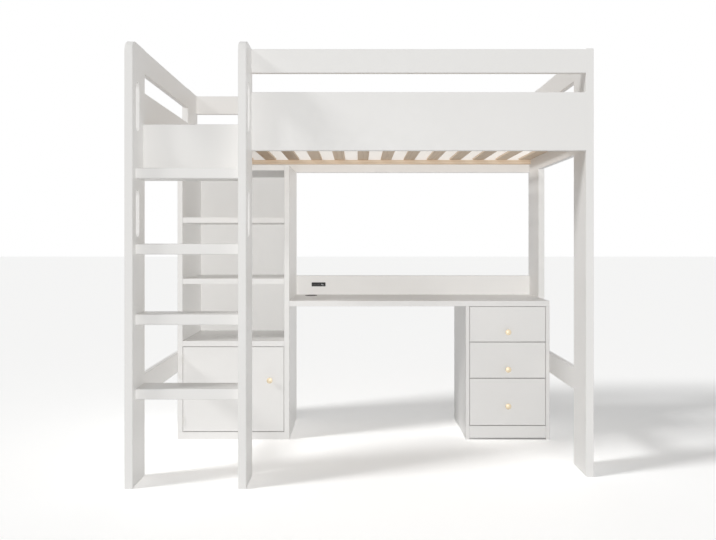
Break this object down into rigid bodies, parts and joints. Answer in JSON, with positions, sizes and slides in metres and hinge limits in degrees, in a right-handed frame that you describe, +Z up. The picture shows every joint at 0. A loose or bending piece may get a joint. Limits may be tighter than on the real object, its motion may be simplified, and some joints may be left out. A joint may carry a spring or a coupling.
{
  "type": "loft bed",
  "caption": "White loft bed with a ladder, guard rails, desk, bookcase with a cabinet, and a drawer pedestal under a slatted sleeping deck.",
  "frame": {"origin": "on the floor, at the middle of the overall length and depth", "axes": "+X along the bed from the ladder end, +Y from the ladder side to the wall side, +Z up"},
  "size_m": [1.99, 1.21, 1.862],
  "materials": {
    "white_paint": "satin white paint on wood",
    "drawer_board": "matt white foil on board",
    "pine": "bare planed pine",
    "brass": "satin brass",
    "steel": "zinc plated",
    "hinge_enamel": "white enamel",
    "runner_steel": "zinc plated",
    "white_plastic": "moulded",
    "grey_plastic": "moulded, fine texture",
    "black_plastic": "moulded, fine texture"
  },
  "bodies": {
    "root": {"ladder_post_left": "white_paint", "ladder_post_right": "white_paint", "front_right_post": "white_paint", "rear_left_post": "white_paint", "rear_right_post": "white_paint", "front_guard_rail": "white_paint", "front_side_board": "white_paint", "entry_board": "white_paint", "rear_guard_rail": "white_paint", "rear_side_board": "white_paint", "rear_desk_rail": "white_paint", "left_guard_rail": "white_paint", "left_end_board": "white_paint", "left_stretcher": "white_paint", "right_guard_rail": "white_paint", "right_end_board": "white_paint", "right_stretcher": "white_paint", "ladder_tread_1": "white_paint", "ladder_tread_2": "white_paint", "ladder_tread_3": "white_paint", "ladder_tread_4": "white_paint", "bookcase_left_side": "white_paint", "bookcase_right_side": "white_paint", "bookcase_top": "white_paint", "cabinet_top_shelf": "white_paint", "bookcase_shelves": "white_paint", "cabinet_floor": "white_paint", "bookcase_back": "white_paint", "bookcase_plinth": "white_paint", "desk_top": "white_paint", "pedestal_left_side": "white_paint", "pedestal_right_side": "white_paint", "pedestal_back": "white_paint", "pedestal_floor": "white_paint", "pedestal_plinth": "white_paint", "slat_cleats": "pine", "mattress_slats": "pine", "tread_bolts": "steel", "cabinet_hinge_leaves": "hinge_enamel", "hinge_pins": "hinge_enamel", "cabinet_runners": "runner_steel", "door_catch": "white_plastic", "desk_grommet": "grey_plastic", "power_socket": "black_plastic"},
    "drawer_1": {"drawer_1_front": "white_paint", "drawer_1_box": "drawer_board", "drawer_1_knob": "brass", "drawer_1_runners": "runner_steel"},
    "drawer_2": {"drawer_2_front": "white_paint", "drawer_2_box": "drawer_board", "drawer_2_knob": "brass", "drawer_2_runners": "runner_steel"},
    "drawer_3": {"drawer_3_front": "white_paint", "drawer_3_box": "drawer_board", "drawer_3_knob": "brass", "drawer_3_runners": "runner_steel"},
    "door": {"cabinet_door": "white_paint", "door_knob": "brass", "door_catch_plate": "steel", "door_hinge_leaves": "hinge_enamel"}
  },
  "joints": [
    {"name": "drawer_1_slide", "type": "slide", "parent": "root", "child": "drawer_1", "axis": [0, -1, 0], "range_m": [0, 0.3]},
    {"name": "drawer_2_slide", "type": "slide", "parent": "root", "child": "drawer_2", "axis": [0, -1, 0], "range_m": [0, 0.3]},
    {"name": "drawer_3_slide", "type": "slide", "parent": "root", "child": "drawer_3", "axis": [0, -1, 0], "range_m": [0, 0.3]},
    {"name": "door_hinge", "type": "hinge", "parent": "root", "child": "door", "pos_m": [-0.933, 0.1365, 0.259], "axis": [0, 0, -1], "range_deg": [0, 90]}
  ]
}
